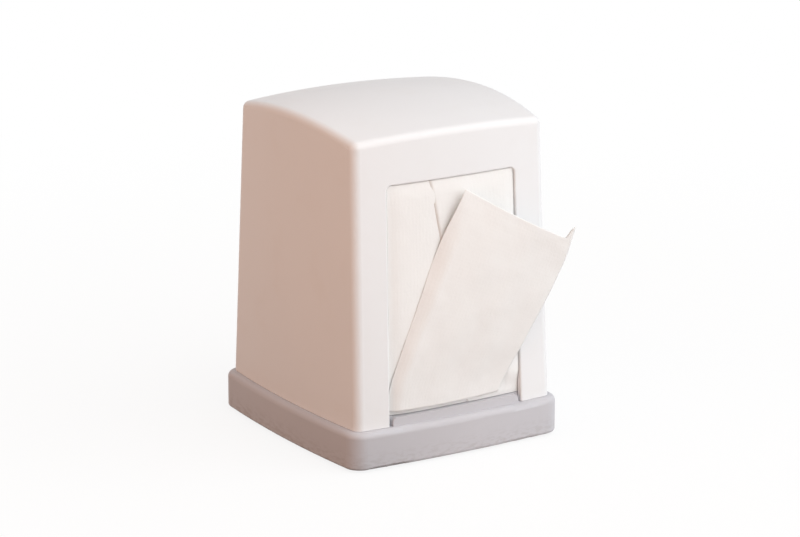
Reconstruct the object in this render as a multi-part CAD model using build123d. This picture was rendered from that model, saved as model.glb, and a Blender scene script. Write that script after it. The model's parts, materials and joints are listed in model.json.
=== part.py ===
from build123d import *
import math
import os

# Tabletop napkin dispenser, in millimetres.
# X is to the right, Y to the back, Z up. The window faces -Y.
# The origin is at the centre of the plane that the rubber ring rests on.

# Cover, measured at the middle of each side
COVER_WIDTH_LOW = 108.2
COVER_DEPTH_LOW = 114.3
COVER_WIDTH_TAPER = 4.3  # how much narrower the cover is at its top corners
COVER_DEPTH_TAPER = 12.5
COVER_HEIGHT = 127.15  # from the ledge of the base to the four top corners
FRONT_BOW = 2.2  # how far the front and back bulge beyond their corners
SIDE_BOW = 2.9
CROWN_ACROSS = 2.5  # rise of the roof over the corners, left to right
CROWN_ALONG = 6.2  # rise of the roof over the corners, front to back
COVER_CORNER_RADIUS = 4.0
ROOF_EDGE_RADIUS = 3.7
COVER_WALL = 2.5
COVER_SEAT_GAP = 0.1

# Window, open at the bottom
WINDOW_OVERLAP = 9.7  # how far the front wall covers a napkin's edge
WINDOW_TAPER = 1.5  # how much a side of the window leans in
WINDOW_TO_CORNERS = 19.25  # from its top edge to the level of the top corners
WINDOW_CORNER_RADIUS = 2.5
WINDOW_EDGE_RADIUS = 0.7

# Base
RING_PROUD = 1.0
BASE_SIDE_MARGIN = 3.4  # how far the base stands out beyond the cover
BASE_FRONT_MARGIN = 3.25
BASE_HEIGHT = 17.15
BASE_CORNER_RADIUS = 8.0
BASE_SHOULDER_RADIUS = 2.8
BASE_FOOT_RADIUS = 1.4
SKIRT_WALL = 2.6
DECK_THICKNESS = 2.6
FLOOR_RISE = 3.9  # napkin floor over the ledge that the cover stands on
PLATFORM_WALL = 1.6
PLATFORM_CLEARANCE = 0.35
LIP_SIDE_GAP = 1.6
LIP_CORNER_RADIUS = 2.2

# Bottom plate, its screws and the rubber ring under it
PLATE_THICKNESS = 1.5
PLATE_RECESS = 0.4
PLATE_CLEARANCE = 0.3
BOSS_DIAMETER = 8.0
BOSS_INSET = 20.0  # from the inside of the skirt to a corner boss
RING_INSET = 7.0
RING_WIDTH = 8.0

# Screws and rivets
SCREW_SHANK = 3.0
SCREW_HEAD = 5.6
SCREW_HEAD_HEIGHT = 1.4
SCREW_LENGTH = 9.0
SCREW_FIT = 0.05
SCREW_DRIVE_DEPTH = 0.8
RIVET_SHANK = 2.4
RIVET_HEAD = 4.0
RIVET_HEAD_HEIGHT = 0.6

# Napkins
NAPKIN_SIDE_ROOM = 7.1  # from a napkin's edge to the cover's inside
NAPKIN_HEADROOM = 8.25  # from a napkin's top to the level of the top corners
NAPKIN_CORNER_RADIUS = 1.2
FRONT_NAPKIN_THICKNESS = 1.4  # at its side edges
WALL_TO_NAPKIN = 0.9  # inside of the leaning front wall to the first napkin
PAPER_GAP = 0.3
PULLED_THICKNESS = 0.5
PULLED_REACH = 15.3  # how far the pulled napkin's free corner stands out
PULLED_BELLY = 1.9  # most that it bulges to the front between its edges

# Pusher
PUSHER_WIDTH = 82.0
PUSHER_DROP = 13.0  # how much lower than a napkin it is
PUSHER_THICKNESS = 2.0
PUSHER_CORNER_RADIUS = 6.0
PUSHER_RIB_DEPTH = 3.0
PUSHER_RIB_WIDTH = 2.0
LEAST_STACK = 2.1  # what the pusher leaves of the stack at the end of its travel
CARRIAGE_WIDTH = 34.0
CARRIAGE_LENGTH = 15.0
CARRIAGE_HEIGHT = 16.0
CARRIAGE_SOLE = 5.0
SLOT_WIDTH = 12.0
SLIDE_CLEARANCE = 0.1
KEEPER_WIDTH = 24.0
KEEPER_LENGTH = 26.0
KEEPER_THICKNESS = 3.0

# Spring and its two cups
SPRING_DROP = 1.5  # its axis below the middle of the napkins
SPRING_MEAN_DIAMETER = 38.5
SPRING_WIRE = 1.5
SPRING_TURNS = 9
SPRING_BAY = 24.0  # pusher plate to back plate along the spring's axis
SPRING_END_GAP = 0.3
CUP_DIAMETER = 44.0
CUP_FLANGE = 1.2
CUP_BOSS_HEIGHT = 4.0
CUP_BOSS_GAP = 0.6

# Back plate
BACK_WIDTH = 74.0
BACK_DROP = 19.0  # how much lower than a napkin it is
BACK_TO_COVER = 1.63  # from the back plate to the cover's inside at the top corners
BACK_THICKNESS = 2.5
BACK_CORNER_RADIUS = 10.0
BACK_FOOT_LENGTH = 8.0
BACK_SCREW_SPACING = 52.0
GUSSET_THICKNESS = 2.5
GUSSET_HEIGHT = 26.0

# Side guides, standing in slots of the deck
GUIDE_GAP = 0.6  # napkin edge to guide
GUIDE_THICKNESS = 1.0
GUIDE_HEIGHT = 62.0
GUIDE_LENGTH = 56.0
GUIDE_FRONT_GAP = 6.0  # first napkin to the front end of a guide
GUIDE_TAB_LENGTH = 9.0
GUIDE_TAB_INSET = 8.0
GUIDE_CORNER_RADIUS = 9.0
TAB_CLEARANCE = 0.1

# Spring clips that hold the cover down
CLIP_WIDTH = 10.0
CLIP_THICKNESS = 0.5
CLIP_POST_WIDTH = 16.0
CLIP_POST_DEPTH = 2.5
CLIP_POST_HEIGHT = 5.0
CLIP_POST_SETBACK = 0.6  # from the platform's side
CLIP_NOSE_HEIGHT = 12.5  # above the napkin floor
CLIP_RISE = 17.0
CLIP_NOSE_REACH = 0.7  # into the pocket of the cover
CLIP_LEAD = 2.0
POCKET_DEPTH = 1.1
POCKET_HEIGHT = 5.0
POCKET_MARGIN = 1.0
CLIP_RIVET_SPACING = 6.0

# Pulled napkin: points of its left and right edge from the bottom up. Each has
# its place across as a share of the window's half width, how far it stands in
# front of the first napkin's top as a share of the reach, and its height as a
# share of a napkin's height. The bulges between the edges are shares of the belly.
PULLED_LEFT = [
    (-0.918, 0.425, 0.029),
    (-0.843, 0.380, 0.098),
    (-0.710, 0.360, 0.199),
    (-0.533, 0.367, 0.331),
    (-0.369, 0.367, 0.454),
    (-0.213, 0.367, 0.570),
    (-0.066, 0.373, 0.687),
    (0.051, 0.380, 0.773),
    (0.168, 0.386, 0.855),
]
PULLED_RIGHT = [
    (0.670, 0.412, 0.019),
    (0.780, 0.452, 0.090),
    (0.895, 0.530, 0.155),
    (0.993, 0.661, 0.217),
    (1.137, 0.739, 0.298),
    (1.285, 0.805, 0.379),
    (1.433, 0.870, 0.463),
    (1.549, 0.935, 0.541),
    (1.604, 1.001, 0.609),
]
PULLED_BULGES = [0.1, 0.2, 0.4, 0.65, 0.8, 0.95, 1.0, 0.95, 0.75]

# Levels, sizes and places that follow from the sizes above
LEDGE = RING_PROUD + BASE_HEIGHT
LEDGE_UNDERSIDE = LEDGE - DECK_THICKNESS
FLOOR = LEDGE + FLOOR_RISE
DECK_UNDERSIDE = FLOOR - DECK_THICKNESS
CORNERS = LEDGE + COVER_HEIGHT
COVER_WIDTH_HIGH = COVER_WIDTH_LOW - COVER_WIDTH_TAPER
COVER_DEPTH_HIGH = COVER_DEPTH_LOW - COVER_DEPTH_TAPER
COVER_INSIDE_LOW = COVER_WIDTH_LOW / 2 - COVER_WALL
SLOPE = COVER_DEPTH_TAPER / 2 / COVER_HEIGHT
BASE_WIDTH = COVER_WIDTH_LOW + 2 * BASE_SIDE_MARGIN
BASE_DEPTH = COVER_DEPTH_LOW + 2 * BASE_FRONT_MARGIN
NAPKIN_WIDTH = 2 * (COVER_INSIDE_LOW - NAPKIN_SIDE_ROOM)
NAPKIN_HEIGHT = COVER_HEIGHT - FLOOR_RISE - NAPKIN_HEADROOM
WINDOW_HALF_WIDTH_LOW = NAPKIN_WIDTH / 2 - WINDOW_OVERLAP
WINDOW_HALF_WIDTH_HIGH = WINDOW_HALF_WIDTH_LOW - WINDOW_TAPER
WINDOW_HEIGHT = COVER_HEIGHT - WINDOW_TO_CORNERS
PUSHER_HEIGHT = NAPKIN_HEIGHT - PUSHER_DROP
BACK_HEIGHT = NAPKIN_HEIGHT - BACK_DROP
PLATE_LOW = RING_PROUD + PLATE_RECESS
PLATE_HIGH = PLATE_LOW + PLATE_THICKNESS
NAPKIN_LOW = FLOOR + PAPER_GAP
NAPKIN_HIGH = NAPKIN_LOW + NAPKIN_HEIGHT
FIRST_NAPKIN = SLOPE * (NAPKIN_HIGH - LEDGE) - COVER_DEPTH_LOW / 2 + COVER_WALL + WALL_TO_NAPKIN
NAPKIN_BOW = FRONT_BOW * (NAPKIN_WIDTH / (COVER_WIDTH_HIGH - 2 * (COVER_WALL + SIDE_BOW))) ** 2
STACK_FRONT = FIRST_NAPKIN + NAPKIN_BOW + FRONT_NAPKIN_THICKNESS + PAPER_GAP
SPRING_Z = FLOOR + NAPKIN_HEIGHT / 2 - SPRING_DROP
BACK_FRONT = COVER_DEPTH_HIGH / 2 - COVER_WALL - BACK_TO_COVER - BACK_THICKNESS
PUSHER_BACK = BACK_FRONT - SPRING_BAY
PUSHER_FRONT = PUSHER_BACK - PUSHER_THICKNESS
STACK_THICKNESS = PUSHER_FRONT - PAPER_GAP - STACK_FRONT
PUSHER_TRAVEL = STACK_THICKNESS - LEAST_STACK
SKIRT_HALF_WIDTH = BASE_WIDTH / 2 - SKIRT_WALL
SKIRT_HALF_DEPTH = BASE_DEPTH / 2 - SKIRT_WALL
BOSS_X = SKIRT_HALF_WIDTH - BOSS_INSET
BOSS_Y = SKIRT_HALF_DEPTH - BOSS_INSET
GUIDE_INSIDE = NAPKIN_WIDTH / 2 + GUIDE_GAP
GUIDE_FRONT = FIRST_NAPKIN + GUIDE_FRONT_GAP
PLATFORM_SIDE = COVER_INSIDE_LOW - PLATFORM_CLEARANCE
POST_INSIDE = PLATFORM_SIDE - CLIP_POST_SETBACK - CLIP_POST_DEPTH
KEEPER_TOP = DECK_UNDERSIDE - SLIDE_CLEARANCE
CLEAR = 1.0  # how far a cutting body runs past the face that it cuts


def outline(width, depth, z, radius):
    """Rectangle with bowed sides and rounded corners."""
    x = width / 2 - SIDE_BOW
    y = depth / 2 - FRONT_BOW
    sides = [
        ThreePointArc((-x, -y), (0, -depth / 2), (x, -y)),
        ThreePointArc((x, -y), (width / 2, 0), (x, y)),
        ThreePointArc((x, y), (0, depth / 2), (-x, y)),
        ThreePointArc((-x, y), (-width / 2, 0), (-x, -y)),
    ]
    face = make_face(Curve() + sides)
    return Pos(0, 0, z) * fillet(face.vertices(), radius)


def cover_outline(inset, z):
    """The cover's outline at a height, drawn in by an inset."""
    share = (z - LEDGE) / COVER_HEIGHT
    width = COVER_WIDTH_LOW + share * (COVER_WIDTH_HIGH - COVER_WIDTH_LOW)
    depth = COVER_DEPTH_LOW + share * (COVER_DEPTH_HIGH - COVER_DEPTH_LOW)
    radius = max(COVER_CORNER_RADIUS - inset, 1.0)
    return outline(width - 2 * inset, depth - 2 * inset, z, radius)


def above_crown(drop):
    """Everything above the doubly curved roof, lowered by a drop."""
    half = COVER_WIDTH_HIGH / 2
    across = (half**2 + CROWN_ACROSS**2) / (2 * CROWN_ACROSS)
    reach = COVER_DEPTH_HIGH / 2
    along = (reach**2 + CROWN_ALONG**2) / (2 * CROWN_ALONG)
    peak = CORNERS + CROWN_ALONG + CROWN_ACROSS - drop
    far = COVER_WIDTH_LOW / 2 + CLEAR
    low = peak - across + math.sqrt(across**2 - far**2)
    high = peak + CROWN_ACROSS + 2 * CROWN_ALONG + 2 * CLEAR
    arc = ThreePointArc((-far, 0, low), (0, 0, peak), (far, 0, low))
    rest = Polyline((far, 0, low), (far, 0, high), (-far, 0, high), (-far, 0, low))
    section = make_face(Curve() + [arc, rest])
    axis = Axis((0, 0, peak - CROWN_ACROSS - along), (1, 0, 0))
    sweep_half = math.degrees(math.asin((COVER_DEPTH_LOW / 2 + CLEAR) / along))
    wedge = revolve(section, axis, 2 * sweep_half)
    return wedge.rotate(axis, -sweep_half)


def cover_form(inset, z_low, roof_drop):
    """Body within the cover's sides and under its roof."""
    z_high = CORNERS + CROWN_ALONG + CROWN_ACROSS + CLEAR
    body = loft([cover_outline(inset, z_low), cover_outline(inset, z_high)], ruled=True)
    return body - above_crown(roof_drop)


def window_form(side_gap, z_low, z_high, radius):
    """Body forward from the middle, as wide as the window less a gap."""
    fall = (WINDOW_HALF_WIDTH_LOW - WINDOW_HALF_WIDTH_HIGH) / WINDOW_HEIGHT
    wide = WINDOW_HALF_WIDTH_LOW - fall * (z_low - LEDGE) - side_gap
    narrow = WINDOW_HALF_WIDTH_LOW - fall * (z_high - LEDGE) - side_gap
    corners = [(-wide, 0, z_low), (wide, 0, z_low), (narrow, 0, z_high), (-narrow, 0, z_high)]
    face = make_face(Polyline(*corners, close=True))
    face = fillet(face.vertices().sort_by(Axis.Z)[-2:], radius)
    return extrude(face, COVER_DEPTH_LOW, dir=(0, -1, 0))


def slab(front, thickness, width, z_low, height, radius):
    """Upright plate with rounded corners; front is the y of its front face."""
    body = Pos(0, front + thickness / 2, z_low + height / 2) * Box(width, thickness, height)
    return fillet(body.edges().filter_by(Axis.Y), radius)


def screw(length):
    """Countersunk screw, its head's top at the origin, pointing down."""
    head_z = -SCREW_HEAD_HEIGHT / 2
    head = Pos(0, 0, head_z) * Cone(SCREW_SHANK / 2, SCREW_HEAD / 2, SCREW_HEAD_HEIGHT)
    shank = Pos(0, 0, -length / 2) * Cylinder(SCREW_SHANK / 2, length)
    arm = SCREW_HEAD / 4
    drive = Box(2 * arm, arm / 2, 2 * SCREW_DRIVE_DEPTH)
    return head + shank - drive - Rot(Z=90) * drive


def screw_hole(length):
    """Room for a screw, with its fit."""
    head_z = -SCREW_HEAD_HEIGHT / 2
    head = Pos(0, 0, head_z) * Cone(
        SCREW_SHANK / 2 + SCREW_FIT, SCREW_HEAD / 2 + SCREW_FIT, SCREW_HEAD_HEIGHT
    )
    shank = Pos(0, 0, -length / 2) * Cylinder(SCREW_SHANK / 2 + SCREW_FIT, length)
    above = Pos(0, 0, CLEAR) * Cylinder(SCREW_HEAD / 2 + SCREW_FIT, 2 * CLEAR)
    return head + shank + above


def rivet(length):
    """Domed rivet whose head sits on the origin plane, pointing down."""
    ball = (RIVET_HEAD**2 / 4 + RIVET_HEAD_HEIGHT**2) / (2 * RIVET_HEAD_HEIGHT)
    cap = Pos(0, 0, RIVET_HEAD_HEIGHT - ball) * Sphere(ball)
    keep = Pos(0, 0, RIVET_HEAD_HEIGHT / 2) * Cylinder(RIVET_HEAD, RIVET_HEAD_HEIGHT)
    shank = Pos(0, 0, -length / 2) * Cylinder(RIVET_SHANK / 2, length)
    return (cap & keep) + shank


def rivet_hole(length):
    """Room for a rivet's shank, with its fit."""
    return Cylinder(RIVET_SHANK / 2 + SCREW_FIT, 2 * length)


def place_bottom_screws():
    """Where the four screws enter the bottom plate, pointing up."""
    return [Pos(x, y, PLATE_LOW) * Rot(X=180) for x in (-BOSS_X, BOSS_X) for y in (-BOSS_Y, BOSS_Y)]


def place_back_screws():
    """Where the two screws enter the back plate's foot, pointing down."""
    y = BACK_FRONT - BACK_FOOT_LENGTH / 2
    return [Pos(x, y, FLOOR + BACK_THICKNESS) for x in (-BACK_SCREW_SPACING / 2, BACK_SCREW_SPACING / 2)]


def place_plate_screws():
    """Where the two screws enter the pusher plate, pointing back."""
    z = FLOOR + CARRIAGE_HEIGHT - SCREW_HEAD
    return [Pos(x, PUSHER_FRONT, z) * Rot(X=90) for x in (-CARRIAGE_WIDTH / 4, CARRIAGE_WIDTH / 4)]


def place_keeper_screws():
    """Where the two screws enter the keeper, pointing up."""
    y = PUSHER_BACK + CARRIAGE_LENGTH / 2
    step = CARRIAGE_LENGTH / 4
    return [Pos(0, y + s, KEEPER_TOP - KEEPER_THICKNESS) * Rot(X=180) for s in (-step, step)]


def place_cup_screw(front):
    """Where a cup's one screw enters its boss; the front one points to the window."""
    boss = CUP_FLANGE + CUP_BOSS_HEIGHT
    if front:
        return Pos(0, PUSHER_BACK + boss, SPRING_Z) * Rot(X=-90)
    return Pos(0, BACK_FRONT - boss, SPRING_Z) * Rot(X=90)


def place_clip_rivets(side):
    """Where the two rivets enter a clip, pointing to the cover."""
    x = side * (POST_INSIDE - CLIP_THICKNESS)
    z = FLOOR + CLIP_POST_HEIGHT / 2
    turn = Rot(Y=-90) if side > 0 else Rot(Y=90)
    return [Pos(x, s * CLIP_RIVET_SPACING / 2, z) * turn for s in (-1, 1)]


def group(places, make):
    """One fastener at each place, as a group of separate solids."""
    return Compound(children=[place * make() for place in places])


def cover_shell():
    """White cover: sides, crowned roof, open bottom and open-bottomed window."""
    bottom = LEDGE + COVER_SEAT_GAP
    outside = cover_form(0, bottom, 0)
    roof = outside.faces().sort_by(Axis.Z)[-1]
    outside = fillet(roof.edges(), ROOF_EDGE_RADIUS)
    shell = outside - cover_form(COVER_WALL, bottom - CLEAR, COVER_WALL)
    cut = window_form(0, LEDGE - CLEAR, LEDGE + WINDOW_HEIGHT, WINDOW_CORNER_RADIUS)
    shell = shell - cut
    for side in (-1, 1):
        shell = shell - clip_pocket(side)
    rim = window_rim(shell)
    return fillet(rim, WINDOW_EDGE_RADIUS)


def window_rim(shell):
    """Outer edges of the window."""
    def on_rim(edge):
        middle = edge @ 0.5
        outer = -(COVER_DEPTH_LOW / 2) + SLOPE * (middle.Z - LEDGE) + FRONT_BOW
        inside_window = abs(middle.X) < WINDOW_HALF_WIDTH_LOW + SCREW_FIT
        above_bottom = middle.Z > LEDGE + CLEAR
        return inside_window and above_bottom and middle.Y < outer
    return shell.edges().filter_by(on_rim)


def clip_pocket(side):
    """Pocket in the cover's inside that a clip's nose springs into."""
    bottom = COVER_INSIDE_LOW + POCKET_DEPTH
    start = PLATFORM_SIDE - CLEAR
    size = bottom - start
    width = CLIP_WIDTH + 2 * POCKET_MARGIN
    return Pos(side * (start + size / 2), 0, FLOOR + CLIP_NOSE_HEIGHT) * Box(size, width, POCKET_HEIGHT)


def platform():
    """Raised floor inside the cover that the napkins stand on."""
    outer = COVER_WALL + PLATFORM_CLEARANCE
    return loft([cover_outline(outer, LEDGE_UNDERSIDE), cover_outline(outer, FLOOR)], ruled=True)


def hollow():
    """Space under the ledge and the napkin floor."""
    inside = outline(
        2 * SKIRT_HALF_WIDTH, 2 * SKIRT_HALF_DEPTH, RING_PROUD - CLEAR, BASE_CORNER_RADIUS - SKIRT_WALL
    )
    low = extrude(inside, LEDGE_UNDERSIDE - RING_PROUD + CLEAR)
    inner = COVER_WALL + PLATFORM_CLEARANCE + PLATFORM_WALL
    bottom = LEDGE_UNDERSIDE - CLEAR
    high = loft([cover_outline(inner, bottom), cover_outline(inner, DECK_UNDERSIDE)], ruled=True)
    return low + high


def lip():
    """Front of the raised floor that closes the bottom of the window, flush with the cover."""
    low = LEDGE - CLEAR
    body = loft([cover_outline(0, low), cover_outline(0, FLOOR + CLEAR)], ruled=True)
    inset = COVER_WALL + PLATFORM_CLEARANCE + CLEAR
    inside = [cover_outline(inset, low - CLEAR), cover_outline(inset, FLOOR + 2 * CLEAR)]
    hole = loft(inside, ruled=True)
    return (body - hole) & window_form(LIP_SIDE_GAP, low, FLOOR, LIP_CORNER_RADIUS)


def base_tray():
    """Grey base: skirt, ledge, napkin floor, lip, bosses, clip posts and slots."""
    skirt = extrude(outline(BASE_WIDTH, BASE_DEPTH, RING_PROUD, BASE_CORNER_RADIUS), BASE_HEIGHT)
    skirt = fillet(skirt.faces().sort_by(Axis.Z)[-1].edges(), BASE_SHOULDER_RADIUS)
    skirt = fillet(skirt.faces().sort_by(Axis.Z)[0].edges(), BASE_FOOT_RADIUS)
    tray = skirt + platform() - hollow() + lip()
    boss_height = DECK_UNDERSIDE - PLATE_HIGH + CLEAR
    for place in place_bottom_screws():
        at = place.position
        tray = tray + Pos(at.X, at.Y, PLATE_HIGH + boss_height / 2) * Cylinder(BOSS_DIAMETER / 2, boss_height)
    back_boss = SCREW_LENGTH + CLEAR
    for place in place_back_screws():
        at = place.position
        tray = tray + Pos(at.X, at.Y, FLOOR - CLEAR - back_boss / 2) * Cylinder(BOSS_DIAMETER / 2, back_boss)
    for place in place_bottom_screws() + place_back_screws():
        tray = tray - place * screw_hole(SCREW_LENGTH + SCREW_FIT)
    for side in (-1, 1):
        tray = tray + clip_post(side)
        for place in place_clip_rivets(side):
            tray = tray - place * rivet_hole(CLIP_THICKNESS + CLIP_POST_DEPTH + CLEAR)
        for tab in guide_tabs(side, TAB_CLEARANCE):
            tray = tray - tab
    return tray - carriage_slot()


def clip_post(side):
    """Post on the napkin floor that a clip is riveted to."""
    height = CLIP_POST_HEIGHT + DECK_THICKNESS / 2
    x = side * (POST_INSIDE + CLIP_POST_DEPTH / 2)
    z = FLOOR + CLIP_POST_HEIGHT - height / 2
    return Pos(x, 0, z) * Box(CLIP_POST_DEPTH, CLIP_POST_WIDTH, height)


def carriage_slot():
    """Slot in the deck that the carriage's neck runs in."""
    front = PUSHER_BACK - PUSHER_TRAVEL - CLEAR
    back = PUSHER_BACK + CARRIAGE_LENGTH + CLEAR
    size = back - front
    return Pos(0, front + size / 2, FLOOR - DECK_THICKNESS / 2) * Box(
        SLOT_WIDTH, size, DECK_THICKNESS + CLEAR
    )


def bottom_plate():
    """Steel plate that closes and weights the base."""
    inset = SKIRT_WALL + PLATE_CLEARANCE
    face = outline(
        BASE_WIDTH - 2 * inset, BASE_DEPTH - 2 * inset, PLATE_LOW, BASE_CORNER_RADIUS - inset
    )
    plate = extrude(face, PLATE_THICKNESS)
    for place in place_bottom_screws():
        plate = plate - place * screw_hole(SCREW_LENGTH)
    return plate


def non_slip_ring():
    """Rubber ring under the bottom plate that the dispenser stands on."""
    outer = RING_INSET
    inner = RING_INSET + RING_WIDTH
    ring = outline(BASE_WIDTH - 2 * outer, BASE_DEPTH - 2 * outer, 0, BASE_CORNER_RADIUS)
    hole = outline(BASE_WIDTH - 2 * inner, BASE_DEPTH - 2 * inner, 0, BASE_CORNER_RADIUS / 2)
    return extrude(ring - hole, PLATE_LOW)


def back_plate():
    """Upright plate that the spring bears on, with a foot and two gussets."""
    y = BACK_FRONT + BACK_THICKNESS / 2
    plate = Pos(0, y, FLOOR + BACK_HEIGHT / 2) * Box(BACK_WIDTH, BACK_THICKNESS, BACK_HEIGHT)
    top = plate.edges().filter_by(Axis.Y).sort_by(Axis.Z)[-2:]
    plate = fillet(top, BACK_CORNER_RADIUS)
    foot_y = BACK_FRONT - BACK_FOOT_LENGTH / 2 + CLEAR / 2
    foot = Pos(0, foot_y, FLOOR + BACK_THICKNESS / 2) * Box(
        BACK_WIDTH, BACK_FOOT_LENGTH + CLEAR, BACK_THICKNESS
    )
    plate = plate + foot
    for side in (-1, 1):
        plate = plate + gusset(side)
    for place in place_back_screws():
        plate = plate - place * screw_hole(SCREW_LENGTH)
    return plate - place_cup_screw(False) * screw_hole(CUP_FLANGE + CUP_BOSS_HEIGHT + BACK_THICKNESS)


def gusset(side):
    """Triangular web between the back plate and its foot."""
    front = BACK_FRONT - BACK_FOOT_LENGTH
    low = FLOOR + BACK_THICKNESS / 2
    corners = [(0, front, low), (0, BACK_FRONT + CLEAR, low), (0, BACK_FRONT + CLEAR, low + GUSSET_HEIGHT)]
    web = extrude(make_face(Polyline(*corners, close=True)), GUSSET_THICKNESS, dir=(side, 0, 0))
    return Pos(side * (BACK_WIDTH / 2 - GUSSET_THICKNESS), 0, 0) * web


def guide_tabs(side, clearance):
    """Two tabs under a side guide, or with a clearance their slots."""
    x = side * (GUIDE_INSIDE + GUIDE_THICKNESS / 2)
    first = GUIDE_FRONT + GUIDE_TAB_INSET + GUIDE_TAB_LENGTH / 2
    last = GUIDE_FRONT + GUIDE_LENGTH - GUIDE_TAB_INSET - GUIDE_TAB_LENGTH / 2
    height = DECK_THICKNESS + CLEAR
    size = (
        GUIDE_THICKNESS + 2 * clearance,
        GUIDE_TAB_LENGTH + 2 * clearance,
        height + 2 * clearance,
    )
    return [Pos(x, y, FLOOR - DECK_THICKNESS + height / 2) * Box(*size) for y in (first, last)]


def side_guide(side):
    """Thin upright wall that keeps the napkins centred."""
    x = side * (GUIDE_INSIDE + GUIDE_THICKNESS / 2)
    y = GUIDE_FRONT + GUIDE_LENGTH / 2
    wall = Pos(x, y, FLOOR + GUIDE_HEIGHT / 2) * Box(GUIDE_THICKNESS, GUIDE_LENGTH, GUIDE_HEIGHT)
    top = wall.edges().filter_by(Axis.X).sort_by(Axis.Z)[-2:]
    wall = fillet(top, GUIDE_CORNER_RADIUS)
    for tab in guide_tabs(side, 0):
        wall = wall + tab
    return wall


def cover_clip(side):
    """Bent leaf spring with a nose that springs into the cover's pocket."""
    root = POST_INSIDE - CLIP_THICKNESS
    nose = COVER_INSIDE_LOW + CLIP_NOSE_REACH - CLIP_THICKNESS
    shoulder = FLOOR + CLIP_POST_HEIGHT + CLEAR
    tip = FLOOR + CLIP_NOSE_HEIGHT
    path = [
        (root, 0, FLOOR + PLATFORM_CLEARANCE),
        (root, 0, shoulder),
        (nose, 0, tip),
        (nose - CLIP_LEAD, 0, FLOOR + CLIP_RISE),
    ]
    outer = [(x + CLIP_THICKNESS, y, z) for x, y, z in reversed(path)]
    face = make_face(Polyline(*path, *outer, close=True))
    leaf = extrude(face, CLIP_WIDTH / 2, dir=(0, 1, 0), both=True)
    if side < 0:
        leaf = mirror(leaf, Plane.YZ)
    for place in place_clip_rivets(side):
        leaf = leaf - place * rivet_hole(CLIP_THICKNESS)
    return leaf


def pusher_plate():
    """Upright plate with two ribs on its back that presses the stack."""
    low = FLOOR + CLEAR
    plate = slab(PUSHER_FRONT, PUSHER_THICKNESS, PUSHER_WIDTH, low, PUSHER_HEIGHT, PUSHER_CORNER_RADIUS)
    rib_low = low + PUSHER_CORNER_RADIUS
    rib_height = PUSHER_HEIGHT - 2 * PUSHER_CORNER_RADIUS
    rib = slab(PUSHER_BACK, PUSHER_RIB_DEPTH, PUSHER_RIB_WIDTH, rib_low, rib_height, PUSHER_RIB_WIDTH / 4)
    for side in (-1, 1):
        plate = plate + Pos(side * (PUSHER_WIDTH / 2 - PUSHER_CORNER_RADIUS), 0, 0) * rib
    for place in place_plate_screws():
        plate = plate - place * screw_hole(SCREW_LENGTH)
    return plate - place_cup_screw(True) * screw_hole(CUP_FLANGE + CUP_BOSS_HEIGHT + PUSHER_THICKNESS)


def pusher_carriage():
    """Shoe behind the pusher plate that slides on the floor, its neck in the slot."""
    low = FLOOR + SLIDE_CLEARANCE
    top = FLOOR + CARRIAGE_HEIGHT
    back = PUSHER_BACK + CARRIAGE_LENGTH
    profile = [
        (0, PUSHER_BACK, low),
        (0, back, low),
        (0, back, FLOOR + CARRIAGE_SOLE),
        (0, PUSHER_BACK + CARRIAGE_HEIGHT / 2, top),
        (0, PUSHER_BACK, top),
    ]
    shoe = extrude(make_face(Polyline(*profile, close=True)), CARRIAGE_WIDTH / 2, dir=(1, 0, 0), both=True)
    neck_height = low - KEEPER_TOP + CLEAR / 2
    neck = Pos(0, PUSHER_BACK + CARRIAGE_LENGTH / 2, KEEPER_TOP + neck_height / 2) * Box(
        SLOT_WIDTH - 2 * SLIDE_CLEARANCE, CARRIAGE_LENGTH, neck_height
    )
    shoe = shoe + neck
    for place in place_plate_screws() + place_keeper_screws():
        shoe = shoe - place * screw_hole(SCREW_LENGTH + SCREW_FIT)
    return shoe


def carriage_keeper():
    """Plate under the deck that holds the carriage down."""
    y = PUSHER_BACK + CARRIAGE_LENGTH / 2
    keeper = Pos(0, y, KEEPER_TOP - KEEPER_THICKNESS / 2) * Box(KEEPER_WIDTH, KEEPER_LENGTH, KEEPER_THICKNESS)
    keeper = fillet(keeper.edges().filter_by(Axis.Z), KEEPER_THICKNESS / 2)
    for place in place_keeper_screws():
        keeper = keeper - place * screw_hole(SCREW_LENGTH)
    return keeper


def spring_cup(front):
    """Cup that an end of the spring sits on, on the pusher plate or the back plate."""
    inner_radius = (SPRING_MEAN_DIAMETER - SPRING_WIRE) / 2 - CUP_BOSS_GAP
    flange = Pos(0, 0, CUP_FLANGE / 2) * Cylinder(CUP_DIAMETER / 2, CUP_FLANGE)
    boss_height = CUP_FLANGE + CUP_BOSS_HEIGHT
    boss = Pos(0, 0, boss_height / 2) * Cylinder(inner_radius, boss_height)
    if front:
        seat = Pos(0, PUSHER_BACK, SPRING_Z) * Rot(X=-90)
    else:
        seat = Pos(0, BACK_FRONT, SPRING_Z) * Rot(X=90)
    return seat * (flange + boss) - place_cup_screw(front) * screw_hole(2 * boss_height)


def spring_point(turn, length):
    """A point on the spring's wire, and the wire's direction there."""
    angle = 2 * math.pi * turn
    radius = SPRING_MEAN_DIAMETER / 2
    pitch = length / SPRING_TURNS
    point = Vector(radius * math.cos(angle), pitch * turn, radius * math.sin(angle))
    rise = pitch / (2 * math.pi)
    direction = Vector(-radius * math.sin(angle), rise, radius * math.cos(angle))
    return point, direction.normalized()


def biarc(start, start_direction, end, end_direction):
    """Two arcs that join two points and keep both directions."""
    chord = end - start
    both = start_direction + end_direction
    a = 2 * (1 - start_direction.dot(end_direction))
    b = 2 * chord.dot(both)
    c = -chord.dot(chord)
    reach = (-b + math.sqrt(b * b - 4 * a * c)) / (2 * a)
    first = start + start_direction * reach
    second = end - end_direction * reach
    middle = (first + second) * 0.5
    along = (second - first).normalized()
    return [TangentArc(start, middle, tangent=start_direction), TangentArc(middle, end, tangent=along)]


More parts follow.
